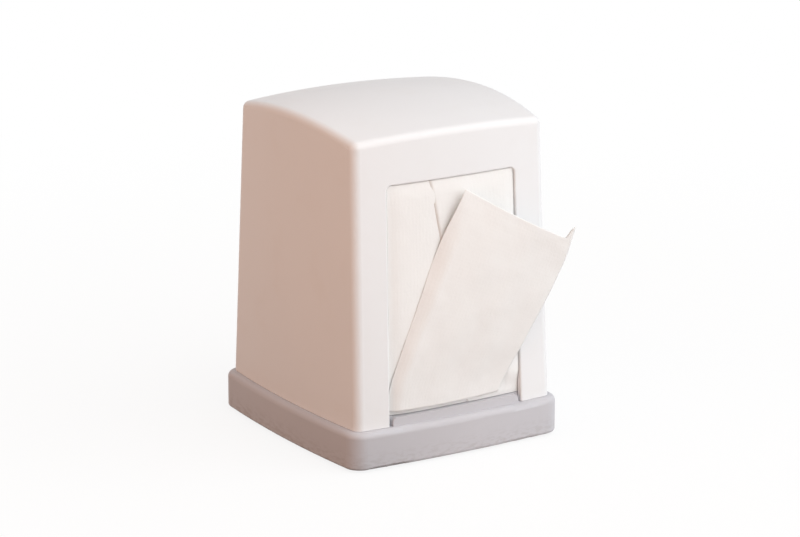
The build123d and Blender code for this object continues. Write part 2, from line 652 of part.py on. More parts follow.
def main_spring():
    """Round-wire compression spring between the two cups."""
    front = PUSHER_BACK + CUP_FLANGE + SPRING_END_GAP + SPRING_WIRE / 2
    back = BACK_FRONT - CUP_FLANGE - SPRING_END_GAP - SPRING_WIRE / 2
    length = back - front
    arcs = []
    for half_turn in range(2 * SPRING_TURNS):
        start, start_direction = spring_point(half_turn / 2, length)
        end, end_direction = spring_point((half_turn + 1) / 2, length)
        arcs += biarc(start, start_direction, end, end_direction)
    print("spring gap between turns", round(length / SPRING_TURNS - SPRING_WIRE, 2))
    path = Wire(arcs)
    start, start_direction = spring_point(0, length)
    section = Plane(origin=start, z_dir=start_direction) * Circle(SPRING_WIRE / 2)
    return Pos(0, front, SPRING_Z) * sweep(section, path=path)


def next_napkin_section(z):
    """First napkin's cross section, bowed in front as the cover's front wall is."""
    x = NAPKIN_WIDTH / 2
    front = FIRST_NAPKIN - SLOPE * (NAPKIN_HIGH - z)
    edge = front + NAPKIN_BOW
    back = edge + FRONT_NAPKIN_THICKNESS
    face = ThreePointArc((-x, edge, z), (0, front, z), (x, edge, z))
    rest = Polyline((x, edge, z), (x, back, z), (-x, back, z), (-x, edge, z))
    return make_face(Curve() + [face, rest])


def next_napkin():
    """First napkin, leaning back with the cover's front wall, its top against the stack."""
    body = loft([next_napkin_section(NAPKIN_LOW), next_napkin_section(NAPKIN_HIGH)], ruled=True)
    return fillet(body.edges().filter_by(Axis.Y), NAPKIN_CORNER_RADIUS)


def pulled_point(across, lead, rise):
    """A point of the pulled napkin's edge from its three shares."""
    x = across * WINDOW_HALF_WIDTH_LOW
    return Vector(x, FIRST_NAPKIN - lead * PULLED_REACH, FLOOR + rise * NAPKIN_HEIGHT)


def pulled_section(left, right, bulge):
    """Cross section of the pulled napkin: a shallow arc with the paper's thickness."""
    back = Vector(0, PULLED_THICKNESS, 0)
    middle = (left + right) * 0.5 - Vector(0, bulge, 0)
    front_arc = ThreePointArc(left, middle, right)
    back_arc = ThreePointArc(right + back, middle + back, left + back)
    ends = [Line(right, right + back), Line(left + back, left)]
    return make_face(Curve() + [front_arc, back_arc] + ends)


def pulled_napkin():
    """Napkin half out of the window, its right part in front of the cover."""
    sections = [
        pulled_section(pulled_point(*left), pulled_point(*right), bulge * PULLED_BELLY)
        for left, right, bulge in zip(PULLED_LEFT, PULLED_RIGHT, PULLED_BULGES)
    ]
    return loft(sections, ruled=True)


def parts():
    """Every piece of the dispenser, by name."""
    made = {
        "cover_shell": cover_shell(),
        "base_tray": base_tray(),
        "bottom_plate": bottom_plate(),
        "bottom_screws": group(place_bottom_screws(), lambda: screw(SCREW_LENGTH)),
        "non_slip_ring": non_slip_ring(),
        "back_plate": back_plate(),
        "back_plate_screws": group(place_back_screws(), lambda: screw(SCREW_LENGTH)),
        "spring_cup_rear": spring_cup(False),
        "rear_cup_screw": place_cup_screw(False) * screw(CUP_FLANGE + CUP_BOSS_HEIGHT + BACK_THICKNESS),
        "pusher_plate": pusher_plate(),
        "pusher_carriage": pusher_carriage(),
        "pusher_plate_screws": group(place_plate_screws(), lambda: screw(SCREW_LENGTH)),
        "carriage_keeper": carriage_keeper(),
        "keeper_screws": group(place_keeper_screws(), lambda: screw(SCREW_LENGTH)),
        "spring_cup_front": spring_cup(True),
        "front_cup_screw": place_cup_screw(True) * screw(CUP_FLANGE + CUP_BOSS_HEIGHT + PUSHER_THICKNESS),
        "main_spring": main_spring(),
        "napkin_stack": slab(
            STACK_FRONT, STACK_THICKNESS, NAPKIN_WIDTH, NAPKIN_LOW, NAPKIN_HEIGHT, NAPKIN_CORNER_RADIUS
        ),
        "next_napkin": next_napkin(),
        "pulled_napkin": pulled_napkin(),
    }
    for side, name in ((-1, "left"), (1, "right")):
        made["side_guide_" + name] = side_guide(side)
        made["cover_clip_" + name] = cover_clip(side)
        length = CLIP_THICKNESS + CLIP_POST_DEPTH
        made["clip_rivets_" + name] = group(place_clip_rivets(side), lambda: rivet(length))
    return made


os.makedirs("parts", exist_ok=True)
for node, shape in parts().items():
    shape.label = node
    export_step(shape, "parts/" + node + ".step")
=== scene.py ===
import json
import math
import random

import bpy
from mathutils import Euler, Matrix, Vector, noise


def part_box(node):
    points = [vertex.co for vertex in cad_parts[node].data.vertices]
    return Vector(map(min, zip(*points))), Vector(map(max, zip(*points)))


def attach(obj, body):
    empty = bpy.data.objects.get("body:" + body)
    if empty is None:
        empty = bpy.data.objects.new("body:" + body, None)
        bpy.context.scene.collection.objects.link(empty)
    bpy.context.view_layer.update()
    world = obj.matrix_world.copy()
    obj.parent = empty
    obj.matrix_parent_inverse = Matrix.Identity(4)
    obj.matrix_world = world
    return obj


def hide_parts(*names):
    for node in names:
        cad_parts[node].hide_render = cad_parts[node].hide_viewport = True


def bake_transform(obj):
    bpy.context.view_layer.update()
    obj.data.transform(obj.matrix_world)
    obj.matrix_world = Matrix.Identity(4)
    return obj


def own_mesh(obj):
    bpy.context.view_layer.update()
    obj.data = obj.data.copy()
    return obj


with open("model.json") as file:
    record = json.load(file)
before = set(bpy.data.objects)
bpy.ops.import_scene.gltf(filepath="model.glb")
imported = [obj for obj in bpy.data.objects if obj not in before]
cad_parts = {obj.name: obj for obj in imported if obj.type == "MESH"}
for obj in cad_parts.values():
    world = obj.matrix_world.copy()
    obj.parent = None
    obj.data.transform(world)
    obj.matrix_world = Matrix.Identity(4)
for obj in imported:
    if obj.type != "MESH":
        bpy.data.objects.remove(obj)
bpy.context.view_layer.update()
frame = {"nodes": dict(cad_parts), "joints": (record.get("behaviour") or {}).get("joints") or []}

bl_info = {
    "name": "Tabletop napkin dispenser",
    "version": (1, 0, 0),
    "blender": (4, 5, 0),
    "location": "3D View > Sidebar > Napkin dispenser",
    "description": "Adds the napkins and spring of a tabletop napkin dispenser, and its finishes and studio",
    "category": "Add Mesh",
}

MM = 0.001

# Each lamp's colour, its place round the dispenser in degrees, its distance and its width in metres
KEY_LAMP = {"tone": (0.95, 0.985, 1.0), "azimuth": 27, "elevation": 35, "away": 2.0, "size": 3.0}
FILL_LAMP = {"tone": (1.0, 0.58, 0.40), "azimuth": -84, "elevation": 12, "away": 1.5, "size": 1.6}
LAMP_AIM = 0.07
FLOOR_WIDTH = 8.0

# The pulled napkin's left and right edge, from the bottom up, in millimetres
PULLED_LEFT = [
    (-33.7, -55.3, 24.4),
    (-33.2, -55.6, 33.6),
    (-29.0, -56.0, 46.3),
    (-22.9, -56.2, 61.5),
    (-16.9, -56.2, 75.6),
    (-11.2, -56.1, 88.8),
    (-5.4, -55.9, 102.0),
    (-0.3, -55.6, 111.6),
    (4.9, -55.2, 120.8),
]
PULLED_RIGHT = [
    (23.1, -54.6, 24.6),
    (26.8, -55.4, 32.7),
    (30.8, -56.5, 40.0),
    (34.6, -58.0, 47.1),
    (39.6, -59.2, 56.4),
    (44.7, -60.2, 65.6),
    (49.9, -61.2, 75.3),
    (53.9, -62.2, 84.2),
    (55.8, -63.2, 92.0),
]

# The pulled napkin's form, in millimetres
BELLY_LOW, BELLY_ADDED = 0.2, 1.7  # its middle stands out by the first low down, and by both further up
SAG_LOW, SAG_TOP = 0.8, 1.2  # the middle of its bottom edge and of its top edge hangs down
MARGIN_OFF = 1.05  # its left margin turns back to this distance from the first napkin
CORNER_RIGHT, CORNER_OUT = 1.9, 1.0  # its curled corner moves to the right and to the front
LAYER_GAP, LAYER_GAP_ADDED = 0.28, 0.4  # its layers stand apart at the fold, and open to the right
ROLL = ((-0.12, 0.15), (-0.2, 0.5), (-0.12, 0.85))  # its fold at the left: outward, and share of the gap

# Shares of the pulled napkin's width or length where its form changes
MARGIN = 0.11
CURL_ACROSS, CURL_ALONG = 0.94, 0.90
FINE_ACROSS, FINE_ALONG = 0.14, 0.88


def colour(default, name, description):
    return bpy.props.FloatVectorProperty(
        name=name, description=description, default=default, size=3, subtype="COLOR", min=0.0, max=1.0,
    )


def length(default, name, description):
    return bpy.props.FloatProperty(
        name=name, description=description, default=default, subtype="DISTANCE", unit="LENGTH", precision=5,
    )


def angle(default, name, description):
    return bpy.props.FloatProperty(
        name=name, description=description, default=math.radians(default), subtype="ANGLE", unit="ROTATION",
    )


def amount(default, name, description):
    return bpy.props.FloatProperty(name=name, description=description, default=default, min=0.0)


def count(default, name, description):
    return bpy.props.IntProperty(name=name, description=description, default=default, min=1)


class NapkinSizes(bpy.types.PropertyGroup):
    """Sizes of the napkins."""

    paper: length(0.10 * MM, "Paper", "Thickness of one layer of napkin paper")
    stack_count: count(44, "Napkins in the stack", "How many folded napkins stand behind the first one")
    fold_gap: length(0.2 * MM, "Fold gap", "Distance between the two layers of a folded napkin")
    seam_top: length(-13.7 * MM, "Seam at the top", "Place across of the front leaf's edge at the top")
    seam_bottom: length(6.9 * MM, "Seam at the bottom", "Place across of the front leaf's edge at the bottom")
    bow: length(2.0 * MM, "Bow", "How far the first napkin's side edges stand back from its middle")
    lean: length(5.65 * MM, "Lean", "How far the first napkin's top stands back from its foot")
    bulge: length(2.35 * MM, "Bulge", "How far the first napkin swells into the window")
    window_low: length(18.15 * MM, "Window's bottom", "Height of the window's open bottom")
    window_high: length(126.05 * MM, "Window's top", "Height of the window's top edge")
    window_wide: length(34.8 * MM, "Window's foot", "Half of the window's width at its bottom")
    window_narrow: length(33.3 * MM, "Window's head", "Half of the window's width at its top")
    puff: length(0.3 * MM, "Puff", "How far the first napkin's leaves stand out from flat")
    uneven: length(0.5 * MM, "Unevenness", "How far napkins in the stack are out of line")
    wrinkle: length(0.35 * MM, "Wrinkles", "Height of the pulled napkin's soft wrinkles")
    curl: length(6.4 * MM, "Curled corner", "How far the pulled napkin's free corner curls up")


class SpringSizes(bpy.types.PropertyGroup):
    """Sizes of the compression spring."""

    wire: length(1.5 * MM, "Wire", "Diameter of the spring's wire")
    mean_diameter: length(38.5 * MM, "Mean diameter", "Diameter of the coil at the middle of the wire")
    turns: count(9, "Turns", "Turns of the spring, closed end turns among them")


class Finishes(bpy.types.PropertyGroup):
    """Colours of the pieces."""

    cover: colour((0.835, 0.835, 0.840), "Cover", "Colour of the cover")
    base: colour((0.565, 0.555, 0.580), "Base", "Colour of the satin base and its lip")
    chassis: colour((0.36, 0.345, 0.365), "Chassis", "Colour of the guides, back plate and carriage")
    pusher: colour((0.46, 0.45, 0.48), "Pusher", "Colour of the pusher plate")
    cups: colour((0.035, 0.034, 0.037), "Cups", "Colour of the spring cups and the keeper")
    napkin: colour((0.895, 0.89, 0.875), "Napkin", "Colour of the napkin paper")
    plated: colour((0.55, 0.56, 0.58), "Plated steel", "Colour of the bottom plate")
    steel: colour((0.62, 0.61, 0.60), "Bright steel", "Colour of screws and rivets")
    spring: colour((0.42, 0.42, 0.43), "Spring steel", "Colour of the spring and the clips")
    rubber: colour((0.030, 0.029, 0.031), "Rubber", "Colour of the non-slip ring")


class Studio(bpy.types.PropertyGroup):
    """Camera, lamps and floor."""

    azimuth: angle(-32.14, "Azimuth", "Turn of the camera round the dispenser, from its front")
    elevation: angle(15.83, "Elevation", "Height of the camera over the horizon")
    roll: angle(0.08, "Roll", "Turn of the camera about its own axis")
    distance: length(1568.3 * MM, "Distance", "From the camera to the point that it looks at")
    lens: bpy.props.FloatProperty(name="Lens", description="Focal length in millimetres", default=154.966)
    target: bpy.props.FloatVectorProperty(
        name="Target", description="Point that the camera looks at", size=3, subtype="XYZ", unit="LENGTH",
        default=(5.925 * MM, 0.762 * MM, 71.0 * MM),
    )
    key: amount(44.4, "Key lamp", "Power of the large lamp at the front right, in watts")
    fill: amount(7.5, "Fill lamp", "Power of the warm lamp at the left, in watts")
    sky: colour((0.60, 0.61, 0.625), "Sky", "Even light from above and from the right")
    shade: colour((0.49, 0.345, 0.275), "Shade", "Even light from the left")
    floor_right: colour((0.55, 0.53, 0.53), "Floor at the right", "Colour that the floor throws to the right")
    # Painted shadow: a dark colour that the floor throws just beside the dispenser's left side, standing in for
    # the dispenser's shadow there
    floor_painted_shadow: colour((0.09, 0.05, 0.035), "Floor near", "Colour that the floor throws beside the left side")
    floor_left: colour((0.36, 0.245, 0.185), "Floor at the left", "Colour that the floor throws to the left")


class Wire:
    """A number or colour that runs through a material, and can be added and multiplied."""

    def __init__(self, recipe, socket):
        self.recipe = recipe
        self.socket = socket

    def sum(self, operation, first, second):
        return self.recipe.add("ShaderNodeMath", {"operation": operation}, {0: first, 1: second})

    def __add__(self, other):
        return self.sum("ADD", self, other)

    def __mul__(self, other):
        return self.sum("MULTIPLY", self, other)

    __radd__ = __add__
    __rmul__ = __mul__


class Recipe:
    """A material while its nodes are added."""

    def __init__(self, name):
        self.material = bpy.data.materials.new(name)
        self.material.use_nodes = True
        self.tree = self.material.node_tree
        self.tree.nodes.clear()

    def add(self, kind, settings=None, inputs=None, out=0):
        """Adds a node, sets it, gives its sockets values or links, and returns one output if it has any."""
        node = self.tree.nodes.new(kind)
        for name, value in (settings or {}).items():
            setattr(node, name, value)
        for key, value in (inputs or {}).items():
            if isinstance(value, Wire):
                self.tree.links.new(value.socket, node.inputs[key])
            else:
                node.inputs[key].default_value = value
        return Wire(self, node.outputs[out]) if node.outputs else None

    def place(self, scale=(1.0, 1.0, 1.0), output="Object"):
        """Coordinates scaled to a pattern's size, from object space or the sheet's own map."""
        source = self.add("ShaderNodeTexCoord", out=("Generated", "Normal", "UV", "Object").index(output))
        return self.add("ShaderNodeMapping", inputs={"Vector": source, "Scale": scale})

    def noise(self, size, detail=2.0, roughness=0.5, stretch=(1.0, 1.0, 1.0), output="Object"):
        """Soft random pattern whose features are about a size across, from 0 to 1."""
        where = self.place(tuple(s / size for s in stretch), output)
        inputs = {"Vector": where, "Scale": 1.0, "Detail": detail, "Roughness": roughness}
        return self.add("ShaderNodeTexNoise", inputs=inputs)

    def cells(self, size, output="Object", out=0, randomness=1.0):
        """Pattern of cells about a size across: output 0 is the distance from a cell's middle, 1 its colour."""
        where = self.place((1 / size,) * 3, output)
        inputs = {"Vector": where, "Scale": 1.0, "Randomness": randomness}
        return self.add("ShaderNodeTexVoronoi", inputs=inputs, out=out)

    def between(self, value, low, high):
        """0 at one value, 1 at another, and smooth between."""
        inputs = {0: value, 1: low, 2: high, 3: 0.0, 4: 1.0}
        return self.add("ShaderNodeMapRange", {"interpolation_type": "SMOOTHSTEP"}, inputs)

    def height(self):
        """Height over the floor, in metres."""
        where = self.add("ShaderNodeTexCoord", out=3)
        return self.add("ShaderNodeSeparateXYZ", inputs={0: where}, out=2)

    def mix(self, share, first, second):
        """Colour between two colours."""
        solid = [c if isinstance(c, Wire) else tuple(c)[:3] + (1.0,) for c in (first, second)]
        return self.add("ShaderNodeMix", {"data_type": "RGBA"}, {0: share, 6: solid[0], 7: solid[1]}, out=2)

    def bump(self, height, depth, under=None):
        """Relief of a depth in metres, over another relief if there is one."""
        inputs = {"Strength": 1.0, "Distance": depth, "Height": height}
        if under:
            inputs["Normal"] = under
        return self.add("ShaderNodeBump", inputs=inputs)

    def finish(self, **values):
        """The surface shader from its named sockets, and the output."""
        named = {name.replace("_", " "): value for name, value in values.items()}
        shader = self.add("ShaderNodeBsdfPrincipled", inputs=named)
        self.add("ShaderNodeOutputMaterial", inputs={"Surface": shader})
        return self.material


def tint(base, factor):
    """A colour made lighter or darker, within range."""
    return tuple(min(1.0, c * factor) for c in base)


def warm(base, share):
    """A colour turned a little to brown, as dust and handling leave it."""
    return tuple(c * (1 - share * k) for c, k in zip(base, (0.25, 0.6, 1.0)))


def gloss_moulding(name, base):
    """Smooth white moulding: faint flow, fine scratches, handling marks and dust low down."""
    recipe = Recipe(name)
    flow = recipe.noise(0.055, 3.0)
    smudge = recipe.between(recipe.noise(0.018, 4.0, 0.6), 0.50, 0.75)
    scratch = recipe.between(recipe.noise(0.0007, 2.0, 0.5, (1.0, 1.0, 0.04)), 0.68, 0.78)
    low = recipe.between(recipe.height(), 0.032, 0.018)
    dust = low * recipe.noise(0.006, 4.0, 0.65)
    tone = recipe.mix(flow, tint(base, 0.975), tint(base, 1.02))
    tone = recipe.mix(smudge * 0.10, tone, warm(tint(base, 0.95), 0.12))
    tone = recipe.mix(dust * 0.12, tone, warm(tint(base, 0.88), 0.12))
    rough = 0.38 + smudge * 0.06 + scratch * 0.05 + dust * 0.15 + flow * 0.04
    peel = recipe.bump(recipe.noise(0.0035, 1.0), 0.000012)
    fine = recipe.bump(scratch, -0.000004, peel)
    return recipe.finish(
        Base_Color=tone, Roughness=rough, Normal=fine, IOR=1.5, Coat_Weight=0.06, Coat_Roughness=0.15
    )


def satin_moulding(name, base, grain=0.0005, depth=0.00002, rough=0.42, foot=0.012):
    """Satin moulding: spark-eroded grain, faint flow, and scuffs where it is set down."""
    recipe = Recipe(name)
    flow = recipe.noise(0.045, 3.0)
    grained = recipe.noise(grain, 2.0, 0.6)
    speck = recipe.between(recipe.noise(0.0022, 3.0, 0.6), 0.60, 0.72)
    scuff_band = recipe.between(recipe.height(), foot, 0.001)
    scuff = scuff_band * recipe.between(recipe.noise(0.004, 4.0, 0.6, (1.0, 1.0, 3.0)), 0.45, 0.62)
    tone = recipe.mix(flow, tint(base, 0.95), tint(base, 1.05))
    tone = recipe.mix(speck * 0.15, tone, tint(base, 0.88))
    tone = recipe.mix(scuff * 0.45, tone, warm(tint(base, 0.78), 0.1))
    roughness = rough - 0.04 + grained * 0.10 + scuff * 0.15 + speck * 0.05
    relief = recipe.bump(grained, depth, recipe.bump(flow, 0.00008))
    return recipe.finish(
        Base_Color=tone, Roughness=roughness, Normal=relief, IOR=1.48, Specular_IOR_Level=0.35
    )


def rubber(name, base):
    """Matt moulded rubber with a fine grain and pale dust."""
    recipe = Recipe(name)
    grained = recipe.noise(0.0006, 3.0, 0.7)
    dust = recipe.between(recipe.noise(0.005, 5.0, 0.7), 0.45, 0.75)
    tone = recipe.mix(grained, tint(base, 0.8), tint(base, 1.3))
    tone = recipe.mix(dust * 0.3, tone, (0.16, 0.15, 0.14))
    relief = recipe.bump(grained, 0.00003)
    return recipe.finish(Base_Color=tone, Roughness=0.68 + dust * 0.2, Normal=relief, IOR=1.5)


def plated_steel(name, base):
    """Zinc-plated sheet: spangle, rolling lines and dull patches."""
    recipe = Recipe(name)
    spangle = recipe.add("ShaderNodeSeparateColor", inputs={0: recipe.cells(0.006, out=1)})
    rolled = recipe.noise(0.0008, 2.0, 0.5, (1.0, 0.02, 1.0))
    dull = recipe.between(recipe.noise(0.02, 4.0, 0.6), 0.48, 0.68)
    tone = recipe.mix(spangle * 0.6 + rolled * 0.3, tint(base, 0.86), tint(base, 1.1))
    tone = recipe.mix(dull * 0.3, tone, tint(base, 0.75))
    roughness = 0.28 + spangle * 0.10 + dull * 0.16
    relief = recipe.bump(rolled, 0.000006)
    return recipe.finish(Base_Color=tone, Metallic=1.0, Roughness=roughness, Normal=relief)


def turned_steel(name, base, rough=0.26, draw=(1.0, 1.0, 1.0)):
    """Bright steel with fine tool or drawing lines and a little tarnish."""
    recipe = Recipe(name)
    lines = recipe.noise(0.0004, 3.0, 0.6, draw)
    tarnish = recipe.between(recipe.noise(0.003, 4.0, 0.6), 0.50, 0.72)
    tone = recipe.mix(lines, tint(base, 0.88), tint(base, 1.08))
    tone = recipe.mix(tarnish * 0.35, tone, warm(tint(base, 0.62), 0.12))
    relief = recipe.bump(lines, 0.000006)
    return recipe.finish(
        Base_Color=tone, Metallic=1.0, Roughness=rough + lines * 0.12 + tarnish * 0.14, Normal=relief
    )


def napkin_paper(name, base):
    """Creped napkin paper: cross ridges, fibres and small embossed dots; its map is in metres."""
    recipe = Recipe(name)
    crepe = recipe.noise(0.0011, 3.0, 0.6, (1.0, 0.28, 1.0), "UV")
    fibre = recipe.noise(0.0003, 3.0, 0.7, output="UV")
    cloud = recipe.noise(0.011, 4.0, 0.6, output="UV")
    dots = recipe.between(recipe.cells(0.0017, "UV", randomness=0.0), 0.42, 0.18)
    tone = recipe.mix(cloud, tint(base, 0.965), tint(base, 1.02))
    tone = recipe.mix(crepe * 0.15, tone, warm(tint(base, 0.90), 0.05))
    tone = recipe.mix(dots * 0.03, tone, tint(base, 0.9))
    relief = recipe.bump(crepe, 0.00007, recipe.bump(cloud, 0.0002))
    relief = recipe.bump(dots, -0.000012, relief)
    relief = recipe.bump(fibre, 0.00002, relief)
    return recipe.finish(
        Base_Color=tone, Roughness=0.88 + fibre * 0.1, Normal=relief, IOR=1.35, Sheen_Weight=0.15,
        Sheen_Roughness=0.6,
    )


def floor_finish(name, left, right, near):
    """Floor that looks white with a faint shadow, and throws a warmer, darker light to the left. Just beside
    the dispenser's left side, the colour it throws is a painted shadow, which makes the base's left side
    darker.
    """
    recipe = Recipe(name)
    where = recipe.add("ShaderNodeTexCoord", out=3)
    side = recipe.add("ShaderNodeSeparateXYZ", inputs={0: where})
    tone = recipe.mix(recipe.between(side, -0.15, 0.15), left, right)
    away = recipe.add("ShaderNodeVectorMath", {"operation": "LENGTH"}, {0: where}, out=1)
    # painted shadow: the light that the floor throws is painted dark just beside the dispenser's left side
    painted_shadow_mask = recipe.between(away, 0.24, 0.09) * recipe.between(side, 0.0, -0.05)
    tone = recipe.mix(painted_shadow_mask * 0.85, tone, near)
    thrown = recipe.add("ShaderNodeBsdfDiffuse", inputs={"Color": tone})
    matt = recipe.add("ShaderNodeBsdfDiffuse", inputs={"Color": (0.95, 0.95, 0.95, 1.0)})
    glow = recipe.add("ShaderNodeEmission", inputs={"Color": (1, 1, 1, 1), "Strength": 1.0})
    glowing = 0.86 + recipe.between(away, 0.1, 0.6) * 0.14
    white = recipe.add("ShaderNodeMixShader", inputs={0: glowing, 1: matt, 2: glow})
    seen = recipe.add("ShaderNodeLightPath", out=0)
    mirrored = recipe.add("ShaderNodeLightPath", out=3)
    share = recipe.add("ShaderNodeMath", {"operation": "MAXIMUM"}, {0: seen, 1: mirrored})
    both = recipe.add("ShaderNodeMixShader", inputs={0: share, 1: thrown, 2: white})
    recipe.add("ShaderNodeOutputMaterial", inputs={"Surface": both})
    return recipe.material


def deselect():
    """Leaves nothing selected, so an operator acts on new pieces only."""
    if bpy.context.object and bpy.context.object.mode != "OBJECT":
        bpy.ops.object.mode_set(mode="OBJECT")
    bpy.ops.object.select_all(action="DESELECT")


def only(piece):
    """Selects one piece and makes it active."""
    deselect()
    piece.select_set(True)
    bpy.context.view_layer.objects.active = piece
    return piece


def apply_modifier(piece, kind, **settings):
    """Adds a modifier to a piece, sets it and applies it."""
    only(piece)
    modifier = piece.modifiers.new(kind.title(), kind)
    for name, value in settings.items():
        setattr(modifier, name, value)
    bpy.ops.object.modifier_apply(modifier=modifier.name)


def outward(piece):
    """Turns a closed piece's faces outward."""
    only(piece)
    bpy.ops.object.mode_set(mode="EDIT")
    bpy.ops.mesh.select_all(action="SELECT")
    bpy.ops.mesh.normals_make_consistent(inside=False)
    bpy.ops.object.mode_set(mode="OBJECT")


def dress(piece, material):
    """Gives a new piece its one material and smooth shading."""
    piece.data.materials.clear()
    piece.data.materials.append(material)
    only(piece)
    bpy.ops.object.shade_smooth()


def coat(material, *nodes):
    """Gives kept pieces of the model a finish."""
    for node in nodes:
        for slot in frame["nodes"][node].material_slots:
            slot.material = material


def sheet_grid(name, across, along, place):
    """A flat sheet divided at given distances, each of its points put in place; its map is in metres."""
    deselect()
    bpy.ops.mesh.primitive_grid_add(x_subdivisions=len(across) - 1, y_subdivisions=len(along) - 1, size=2)
    piece = bpy.context.object
    piece.name = name
    piece.data.name = name
    chart = piece.data.uv_layers.active
    spots = []
    for vertex in piece.data.vertices:
        column = round((vertex.co.x + 1) / 2 * (len(across) - 1))
        row = round((vertex.co.y + 1) / 2 * (len(along) - 1))
        spots.append((across[column], along[row]))
        vertex.co = place(column, row)
    for loop in piece.data.loops:
        chart.data[loop.index].uv = spots[loop.vertex_index]
    piece.data.update()
    return piece


def distances(points):
    """Running distance along a line of points."""
    total, found = 0.0, [0.0]
    for before, after in zip(points, points[1:]):
        total += (after - before).length
        found.append(total)
    return found


def steps(first, last, number):
    """Even steps between two numbers, both among them."""
    return [first + (last - first) * k / (number - 1) for k in range(number)]


def steps_and(first, last, number, extra):
    """Even steps between two numbers, with those of some extra places that lie between them."""
    low, high = min(first, last), max(first, last)
    found = set(steps(first, last, number)) | {e for e in extra if low < e < high}
    return sorted(found, reverse=last < first)


class FoldedNapkin:
    """A napkin folded up in half and then in at both sides, so that its leaves meet in front.

    Its path is a list of places across: x, depth, and how a layer's shift acts on the depth and on x.
    """

    def __init__(self, width, height, depth, gap, seams, fine, bend=5, dense=((), ())):
        self.gap = gap
        radius = depth / 2
        edge = width / 2 - radius
        left, right = seams

        def columns(span):
            return max(3, round(abs(span) / fine))

        arc = steps(-90, -270, bend)[1:-1]
        path = [(x, 0.0, -1.0, 0.0) for x in steps_and(left, -edge, columns(left + edge), dense[0])]
        for turn in arc:
            c, s = math.cos(math.radians(turn)), math.sin(math.radians(turn))
            path.append((-edge + radius * c, radius + radius * s, s, c))
        path += [(x, depth, 1.0, 0.0) for x in steps(-edge, edge, columns(2 * edge))]
        for turn in reversed(arc):
            c, s = math.cos(math.radians(turn)), math.sin(math.radians(turn))
            path.append((edge - radius * c, radius + radius * s, s, -c))
        path += [(x, 0.0, -1.0, 0.0) for x in steps_and(edge, right, columns(edge - right), dense[0])]
        self.path = path
        self.across = distances([Vector((x, y)) for x, y, _, _ in path])
        rows = max(4, round(height / (fine * 1.6)))
        outer = [(h, 1.0) for h in steps_and(height, gap / 2, rows, dense[1])]
        bottom = [math.radians(a) for a in (45, 90, 135)]
        under = [(gap / 2 - gap / 2 * math.sin(a), math.cos(a)) for a in bottom]
        inner = [(h, -1.0) for h in steps(gap / 2, height - 2 * gap, rows)]
        self.rows = outer + under + inner
        self.along = distances([Vector((side * gap / 2, h)) for h, side in self.rows])

    def build(self, name, shape):
        """The sheet, each point given by a function of its place across, depth, height and side."""

        def place(column, row):
            x, depth, front, side = self.path[column]
            height, layer = self.rows[row]
            shift = layer * self.gap / 2
            return shape(x + side * shift, depth + front * shift, height, column < len(self.path) / 3)

        return sheet_grid(name, self.across, self.along, place)


def napkin_room():
    """First napkin's low corner, width and height, from its solid."""
    low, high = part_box("next_napkin")
    return low, high.x - low.x, high.z - low.z


def ripple(x, z, seed, size):
    """Soft random height from -1 to 1."""
    return noise.noise(Vector((x / size, seed * 7.3, z / size)))


class FirstFront:
    """The front of the first napkin, which leans with the cover's wall and bulges into the window."""

    STEP = (0.05 * MM, 0.45 * MM)  # where the bulge's quick rise beside an edge begins and ends
    SLOW = 6 * MM  # where its slow rise ends
    QUICK_SHARE = 0.75
    FOOT, FOOT_SHARE = 25 * MM, 0.12  # under this height only this share of the bulge is left
    FULL_LEFT, FULL_DROP = 66, 32  # height of the full bulge at the left, and how much lower at the right
    RIGHT = (18 * MM, 29 * MM)  # where it goes from one to the other
    HOLLOW, HOLLOW_WIDTH = 0.3 * MM, 7 * MM  # the first napkin gives way along the pulled one's left edge
    AHEAD = 0.1 * MM  # from its solid's front to where it would be without the bulge

    def __init__(self):
        sizes = bpy.context.scene.napkin_sizes
        self.origin, self.width, self.height = napkin_room()
        self.lean, self.bow, self.bulge = sizes.lean, sizes.bow, sizes.bulge
        self.window = (sizes.window_low, sizes.window_high, sizes.window_wide, sizes.window_narrow)

    def swell(self, x, z):
        """Bulge at a place: it rises fast beside the window's edges, then slowly, and is small low down."""
        low, high, wide, narrow = self.window
        across = wide + (narrow - wide) * (z - low) / (high - low) - abs(x)
        under = high - z
        near = ease(across, *self.STEP) * ease(under, *self.STEP)
        far = ease(across, 0.0, self.SLOW) * ease(under, 0.0, self.SLOW)
        top = (self.FULL_LEFT - self.FULL_DROP * ease(x, *self.RIGHT)) * MM
        height = (z / MM - PULLED_LEFT[0][2]) / (PULLED_LEFT[-1][2] - PULLED_LEFT[0][2])
        beside = x - smooth_through(PULLED_LEFT, height).x * MM
        hollow = math.exp(-((beside / self.HOLLOW_WIDTH) ** 2)) * (1 - ease(height, 0.6, 0.85)) * near
        share = self.FOOT_SHARE + (1 - self.FOOT_SHARE) * ease(z, self.FOOT, top)
        full = self.bulge * (self.QUICK_SHARE * near + (1 - self.QUICK_SHARE) * far) * share
        return full - self.HOLLOW * hollow

    def plane(self, z):
        """Where the middle would be without the bulge."""
        return self.origin.y - self.AHEAD + self.lean * (z - self.origin.z) / self.height

    def at(self, x, z):
        """Depth of the front at a place."""
        return self.plane(z) + self.bow * (2 * x / self.width) ** 2 - self.swell(x, z)


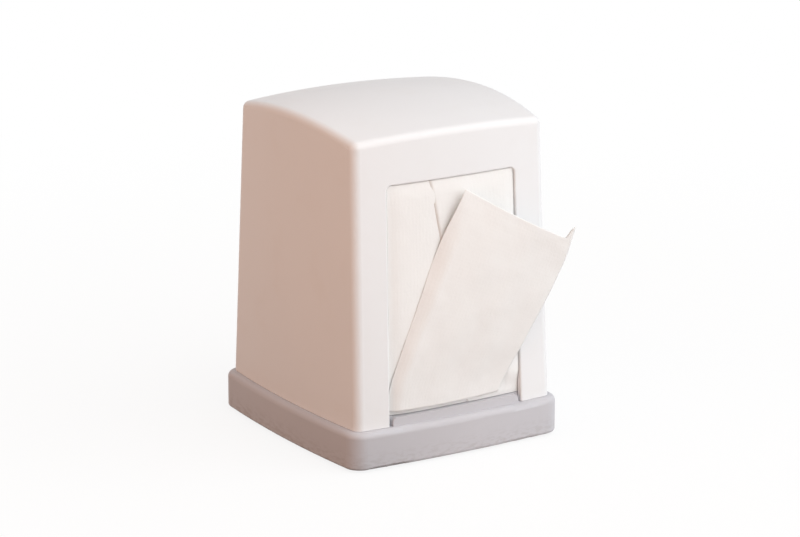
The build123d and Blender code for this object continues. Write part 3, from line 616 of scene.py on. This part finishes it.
def build_next_napkin():
    """The first napkin in the window, its right leaf over its left one."""
    sizes = bpy.context.scene.napkin_sizes
    face = FirstFront()
    origin, width, height = napkin_room()
    depth = 0.95 * MM
    overlap = 18 * MM
    fine, finest = 1.6 * MM, 0.2
    half = width / 2
    seam = (sizes.seam_top + sizes.seam_bottom) / 2
    beside = [side * (33.0 + finest * k) * MM for side in (-1, 1) for k in range(-3, 10)]
    under = [sizes.window_high - origin.z + k * finest * MM for k in range(-7, 2)]
    folded = FoldedNapkin(
        width, height, depth, sizes.fold_gap, (seam + overlap, seam), fine, 7, (beside, under)
    )

    def shape(x, behind, up, left_leaf):
        share = up / height
        front = behind < depth / 2
        puff = 0.0
        if front and left_leaf:
            tucked = ease(x, seam - 12 * MM, seam + 12 * MM)
            puff = sizes.puff * (0.5 + 0.5 * ripple(x, up, 3, 14 * MM)) - 0.40 * MM * tucked
        elif front:
            slant = sizes.seam_bottom + (sizes.seam_top - sizes.seam_bottom) * share - seam
            reach = max(0.0, 1 - (x - seam) / half)
            x += slant * reach
            puff = 0.1 * MM + sizes.puff * (1 - reach) * (0.6 + 0.4 * ripple(x, up, 5, 16 * MM))
        back = behind / depth
        wave = 0.10 * MM * ripple(x, up, 9, 9 * MM)
        ahead = face.at(x, origin.z + up)
        y = ahead + (face.plane(origin.z + up) + sizes.bow - ahead) * back + behind - puff + wave
        return Vector((x, y, origin.z + up))

    piece = folded.build("next_napkin_folded", shape)
    apply_modifier(piece, "SOLIDIFY", thickness=sizes.paper, offset=0.0)
    outward(piece)
    return piece


def build_stack():
    """The folded napkins behind the first one, each a little out of line."""
    sizes = bpy.context.scene.napkin_sizes
    origin, width, height = napkin_room()
    stack_low, stack_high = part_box("napkin_stack")
    thickness = stack_high.y - stack_low.y
    pitch = thickness / sizes.stack_count
    leaf_depth = pitch * 0.62
    fine = 9 * MM
    chance = random.Random(11)
    leaves = []
    for k in range(sizes.stack_count):
        off = chance.uniform(-1, 1) * sizes.uneven
        short = chance.uniform(0.0, 1.6) * sizes.uneven
        seam = chance.uniform(-3, 3) * MM
        seams = (seam, seam + 2 * MM)
        across = width - 2 * sizes.uneven
        folded = FoldedNapkin(across, height - short, leaf_depth, sizes.fold_gap, seams, fine)

        def shape(x, behind, up, left_leaf, k=k, off=off):
            wave = pitch * 0.12 * ripple(x, up, k * 0.11, 25 * MM)
            return Vector((x + off, stack_low.y + (k + 0.2) * pitch + behind + wave, origin.z + up))

        leaf = folded.build("stack_leaf_%d" % k, shape)
        apply_modifier(leaf, "SOLIDIFY", thickness=sizes.paper, offset=0.0)
        leaves.append(leaf)
    deselect()
    for leaf in leaves:
        leaf.select_set(True)
    bpy.context.view_layer.objects.active = leaves[0]
    bpy.ops.object.join()
    piece = bpy.context.object
    piece.name = "napkin_stack_folded"
    piece.data.name = piece.name
    outward(piece)
    return piece, thickness


def smooth_through(points, share):
    """A point on a smooth line through some points."""
    last = len(points) - 1
    place = min(max(share, 0.0), 1.0) * last
    i = min(int(place), last - 1)
    t = place - i
    a, b, c, d = (Vector(points[min(max(i + k, 0), last)]) for k in (-1, 0, 1, 2))
    bend = 2 * a - 5 * b + 4 * c - d
    return 0.5 * (2 * b + (c - a) * t + bend * t**2 + (3 * b - a - 3 * c + d) * t**3)


def ease(value, low, high):
    """0 below a low value, 1 over a high one, and smooth between."""
    t = min(max((value - low) / (high - low), 0.0), 1.0)
    return t * t * (3 - 2 * t)


def pulled_surface(across, along, sizes, face):
    """A point of the pulled napkin's front layer, in metres, from its shares across and up."""
    point = smooth_through(PULLED_LEFT, along).lerp(smooth_through(PULLED_RIGHT, along), across)
    belly = 4 * across * (1 - across)
    point.y -= (BELLY_LOW + BELLY_ADDED * ease(along, 0.0, 0.7)) * belly
    point.z -= (SAG_LOW * (1 - ease(along, 0.0, 0.16)) + SAG_TOP * ease(along, 0.8, 1.0)) * belly
    turned = max(0.0, 1 - across / MARGIN) ** 2 * (1 - ease(along, 0.62, 0.92))
    point.y += (face.at(point.x * MM, point.z * MM) / MM - MARGIN_OFF - point.y) * turned
    corner = ease(across, CURL_ACROSS, 1.0) * ease(along, CURL_ALONG, 1.0)
    point += Vector((CORNER_RIGHT, -CORNER_OUT, sizes.curl / MM)) * corner
    point *= MM
    fan = math.sin(2 * math.pi * (across * 3.2 + 0.25 * along)) * ease(along, 0.02, 0.2) * (1 - 0.6 * along)
    soft = ripple(point.x, point.z, 21, 13 * MM) + 0.5 * ripple(point.x, point.z, 22, 5 * MM)
    point.y -= sizes.wrinkle * (0.45 * fan + 0.8 * soft) * (0.5 + 0.5 * ease(along, 0.0, 0.08))
    return point


def build_pulled_napkin():
    """The napkin that is half out: two layers, folded at the left edge."""
    sizes = bpy.context.scene.napkin_sizes
    face = FirstFront()
    front = steps(1.0, CURL_ACROSS, 7) + steps(CURL_ACROSS, FINE_ACROSS, 30)[1:]
    front += steps(FINE_ACROSS, 0.0, 15)[1:]
    back_width = 0.985
    columns = [(s, 0.0, 0.0) for s in front]
    columns += [(0.0, out, layer) for out, layer in ROLL]
    columns += [(s * back_width, 0.0, 1.0) for s in reversed(front)]
    rows = steps(0.0, FINE_ALONG, 46) + steps(FINE_ALONG, 1.0, 12)[1:]

    def place(column, row):
        across, out, layer = columns[column]
        along = rows[row]
        point = pulled_surface(across, along, sizes, face)
        point.x += out * MM
        opening = LAYER_GAP + LAYER_GAP_ADDED * across * ease(along, 0.3, 1.0)
        point.y += layer * opening * MM
        return point

    width = distances([place(c, len(rows) // 2) for c in range(len(columns))])
    height = distances([place(len(columns) // 4, r) for r in range(len(rows))])
    piece = sheet_grid("pulled_napkin_sheet", width, height, place)
    apply_modifier(piece, "SOLIDIFY", thickness=sizes.paper, offset=0.0)
    outward(piece)
    return piece


def build_spring():
    """Compression spring with closed end turns, from its front cup to its rear one."""
    sizes = bpy.context.scene.spring_sizes
    front_low, front_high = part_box("main_spring")
    middle = (front_low + front_high) / 2
    reach = front_high.y - front_low.y - sizes.wire
    deselect()
    bpy.ops.mesh.primitive_circle_add(
        vertices=14, radius=sizes.wire / 2, location=(sizes.mean_diameter / 2, 0, 0),
        rotation=(math.pi / 2, 0, 0),
    )
    piece = bpy.context.object
    piece.name = "main_spring_wound"
    piece.data.name = piece.name
    bpy.ops.object.transform_apply()
    pitch = reach / sizes.turns
    apply_modifier(
        piece, "SCREW", angle=2 * math.pi, screw_offset=pitch, iterations=sizes.turns, steps=40,
        render_steps=40, axis="Z",
    )
    end = 0.9  # turns that lie closed at each end
    closed = sizes.wire * 1.03
    open_pitch = (reach - 2 * end * closed) / (sizes.turns - 2 * end)
    for vertex in piece.data.vertices:
        turn = math.atan2(vertex.co.y, vertex.co.x) / (2 * math.pi)
        whole = round(vertex.co.z / pitch - turn)
        passed = min(max(whole + turn, 0.0), float(sizes.turns))
        off_wire = vertex.co.z - (whole + turn) * pitch
        if passed < end:
            along = passed * closed
        elif passed > sizes.turns - end:
            along = reach - (sizes.turns - passed) * closed
        else:
            along = end * closed + (passed - end) * open_pitch
        vertex.co.z = along + off_wire
    only(piece)
    bpy.ops.object.mode_set(mode="EDIT")
    bpy.ops.mesh.select_all(action="DESELECT")
    bpy.ops.mesh.select_non_manifold()
    bpy.ops.mesh.edge_face_add()
    bpy.ops.object.mode_set(mode="OBJECT")
    piece.rotation_euler = (-math.pi / 2, 0, 0)
    piece.location = (middle.x, front_low.y + sizes.wire / 2, middle.z)
    bpy.ops.object.transform_apply()
    outward(piece)
    return piece


class NAPKIN_OT_mouldings(bpy.types.Operator):
    """Give the cover, base, chassis pieces, pusher, cups and rubber ring their finishes"""

    bl_idname = "napkin_dispenser.mouldings"
    bl_label = "Finish the mouldings"

    def execute(self, context):
        tones = context.scene.finishes
        coat(gloss_moulding("gloss_white_cover", tones.cover), "cover_shell")
        coat(satin_moulding("satin_grey_base", tones.base), "base_tray")
        chassis = satin_moulding("satin_grey_chassis", tones.chassis, 0.0006, 0.00003, 0.5)
        coat(chassis, "back_plate", "side_guide_left", "side_guide_right", "pusher_carriage")
        coat(satin_moulding("satin_grey_pusher", tones.pusher, 0.0007, 0.00004, 0.46), "pusher_plate")
        cups = satin_moulding("matt_black_cups", tones.cups, 0.0004, 0.00002, 0.55)
        coat(cups, "spring_cup_front", "spring_cup_rear", "carriage_keeper")
        coat(rubber("moulded_rubber", tones.rubber), "non_slip_ring")
        return {"FINISHED"}


class NAPKIN_OT_metalwork(bpy.types.Operator):
    """Give the bottom plate, screws, rivets and clips their finishes"""

    bl_idname = "napkin_dispenser.metalwork"
    bl_label = "Finish the metalwork"

    def execute(self, context):
        tones = context.scene.finishes
        coat(plated_steel("zinc_plated_sheet", tones.plated), "bottom_plate")
        bright = turned_steel("bright_screw_steel", tones.steel)
        coat(bright, "bottom_screws", "back_plate_screws", "pusher_plate_screws", "keeper_screws")
        coat(bright, "rear_cup_screw", "front_cup_screw", "clip_rivets_left", "clip_rivets_right")
        leaf = turned_steel("rolled_spring_steel", tones.spring, 0.24, (1.0, 0.05, 1.0))
        coat(leaf, "cover_clip_left", "cover_clip_right")
        return {"FINISHED"}


class NAPKIN_OT_spring(bpy.types.Operator):
    """Wind the compression spring between its cups"""

    bl_idname = "napkin_dispenser.spring"
    bl_label = "Add the spring"

    def execute(self, context):
        piece = build_spring()
        dress(piece, turned_steel("drawn_spring_wire", context.scene.finishes.spring, 0.22))
        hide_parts("main_spring")
        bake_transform(piece)
        return {"FINISHED"}


class NAPKIN_OT_napkins(bpy.types.Operator):
    """Fold the napkins of the stack and the first one in the window"""

    bl_idname = "napkin_dispenser.napkins"
    bl_label = "Add the napkins"

    def execute(self, context):
        paper = napkin_paper("creped_napkin_paper", context.scene.finishes.napkin)
        stack, thickness = build_stack()
        dress(stack, paper)
        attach(stack, "base")
        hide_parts("napkin_stack")
        travel = next(j["range_m"][1] for j in frame["joints"] if j["name"] == "pusher_slide")
        keep = (thickness - travel) / thickness
        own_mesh(stack)
        first = build_next_napkin()
        dress(first, paper)
        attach(first, "base")
        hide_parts("next_napkin")
        return {"FINISHED"}


class NAPKIN_OT_pulled_napkin(bpy.types.Operator):
    """Shape the napkin that is half out of the window"""

    bl_idname = "napkin_dispenser.pulled_napkin"
    bl_label = "Add the pulled napkin"

    def execute(self, context):
        paper = bpy.data.materials.get("creped_napkin_paper")
        if paper is None:
            raise RuntimeError("add the napkins first, because the pulled one has their paper")
        piece = build_pulled_napkin()
        dress(piece, paper)
        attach(piece, "base")
        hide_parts("pulled_napkin")
        return {"FINISHED"}


class NAPKIN_OT_stage(bpy.types.Operator):
    """Set the floor, the lamps and the camera"""

    bl_idname = "napkin_dispenser.stage"
    bl_label = "Set the stage"

    def execute(self, context):
        studio = context.scene.studio
        deselect()
        bpy.ops.mesh.primitive_plane_add(size=FLOOR_WIDTH, location=(0, 0, 0))
        floor = context.object
        floor.name = "studio_floor"
        tones = (studio.floor_left, studio.floor_right, studio.floor_painted_shadow)
        floor.data.materials.append(floor_finish("pale_studio_floor", *tones))
        self.lamp("key_lamp", studio.key, **KEY_LAMP)
        self.lamp("fill_lamp", studio.fill, **FILL_LAMP)
        self.sky(context, studio)
        self.camera(context, studio)
        return {"FINISHED"}

    def direction(self, azimuth, elevation):
        """Unit vector from the dispenser to a place round it."""
        flat = math.cos(elevation)
        return Vector((math.sin(azimuth) * flat, -math.cos(azimuth) * flat, math.sin(elevation)))

    def lamp(self, name, power, tone, azimuth, elevation, away, size):
        """A large square lamp that points at the dispenser."""
        data = bpy.data.lights.new(name, "AREA")
        data.energy = power
        data.color = tone
        data.size = size
        lamp = bpy.data.objects.new(name, data)
        back = self.direction(math.radians(azimuth), math.radians(elevation))
        lamp.location = back * away + Vector((0, 0, LAMP_AIM))
        lamp.rotation_euler = (-back).to_track_quat("-Z", "Y").to_euler()
        bpy.context.scene.collection.objects.link(lamp)

    def sky(self, context, studio):
        """White background, and even light that goes from warm at the left to cool at the right."""
        world = bpy.data.worlds.new("white_surround")
        context.scene.world = world
        world.use_nodes = True
        nodes, links = world.node_tree.nodes, world.node_tree.links
        nodes.clear()
        lit_from_left, lit_from_right = -0.7, 0.05
        path = nodes.new("ShaderNodeLightPath")
        seen = nodes.new("ShaderNodeMath")
        seen.operation = "MAXIMUM"
        links.new(path.outputs["Is Camera Ray"], seen.inputs[0])
        links.new(path.outputs["Is Transmission Ray"], seen.inputs[1])
        where = nodes.new("ShaderNodeTexCoord")
        split = nodes.new("ShaderNodeSeparateXYZ")
        turn = nodes.new("ShaderNodeMapRange")
        turn.interpolation_type = "SMOOTHSTEP"
        turn.inputs["From Min"].default_value = lit_from_left
        turn.inputs["From Max"].default_value = lit_from_right
        tone = nodes.new("ShaderNodeMix")
        tone.data_type = "RGBA"
        tone.inputs[6].default_value = (*studio.shade, 1.0)
        tone.inputs[7].default_value = (*studio.sky, 1.0)
        links.new(where.outputs["Generated"], split.inputs[0])
        links.new(split.outputs["X"], turn.inputs["Value"])
        links.new(turn.outputs[0], tone.inputs[0])
        dim = nodes.new("ShaderNodeBackground")
        links.new(tone.outputs[2], dim.inputs["Color"])
        bright = nodes.new("ShaderNodeBackground")
        bright.inputs["Color"].default_value = (1.0, 1.0, 1.0, 1.0)
        mixed = nodes.new("ShaderNodeMixShader")
        output = nodes.new("ShaderNodeOutputWorld")
        links.new(seen.outputs[0], mixed.inputs[0])
        links.new(dim.outputs[0], mixed.inputs[1])
        links.new(bright.outputs[0], mixed.inputs[2])
        links.new(mixed.outputs[0], output.inputs[0])

    def camera(self, context, studio):
        """The photograph's camera."""
        data = bpy.data.cameras.new("photo_camera")
        data.sensor_width = 36.0
        data.lens = studio.lens
        data.clip_start, data.clip_end = 0.05, 50.0
        camera = bpy.data.objects.new("photo_camera", data)
        back = self.direction(studio.azimuth, studio.elevation)
        turn = (-back).to_track_quat("-Z", "Y") @ Euler((0, 0, studio.roll)).to_quaternion()
        camera.location = Vector(studio.target) + back * studio.distance
        camera.rotation_euler = turn.to_euler()
        context.scene.collection.objects.link(camera)
        context.scene.camera = camera
        context.scene.view_settings.view_transform = "Standard"


class NAPKIN_PT_panel(bpy.types.Panel):
    """Lists the steps that make the dispenser"""

    bl_label = "Napkin dispenser"
    bl_idname = "NAPKIN_PT_panel"
    bl_space_type = "VIEW_3D"
    bl_region_type = "UI"
    bl_category = "Napkin dispenser"

    def draw(self, context):
        scene = context.scene
        for group in (scene.napkin_sizes, scene.spring_sizes, scene.finishes, scene.studio):
            box = self.layout.box()
            for name in group.__annotations__:
                box.prop(group, name)
        for step in STEPS:
            self.layout.operator(step.bl_idname)


GROUPS = {"napkin_sizes": NapkinSizes, "spring_sizes": SpringSizes, "finishes": Finishes, "studio": Studio}
STEPS = (
    NAPKIN_OT_mouldings,
    NAPKIN_OT_metalwork,
    NAPKIN_OT_spring,
    NAPKIN_OT_napkins,
    NAPKIN_OT_pulled_napkin,
    NAPKIN_OT_stage,
)


def register():
    for kind in (*GROUPS.values(), *STEPS, NAPKIN_PT_panel):
        bpy.utils.register_class(kind)
    for name, kind in GROUPS.items():
        setattr(bpy.types.Scene, name, bpy.props.PointerProperty(type=kind))


def unregister():
    for name in GROUPS:
        delattr(bpy.types.Scene, name)
    for kind in reversed((*GROUPS.values(), *STEPS, NAPKIN_PT_panel)):
        bpy.utils.unregister_class(kind)


def main():
    register()
    bpy.ops.napkin_dispenser.stage()
    bpy.ops.napkin_dispenser.mouldings()
    bpy.ops.napkin_dispenser.metalwork()
    bpy.ops.napkin_dispenser.spring()
    bpy.ops.napkin_dispenser.napkins()
    bpy.ops.napkin_dispenser.pulled_napkin()


if __name__ == "__main__":
    main()
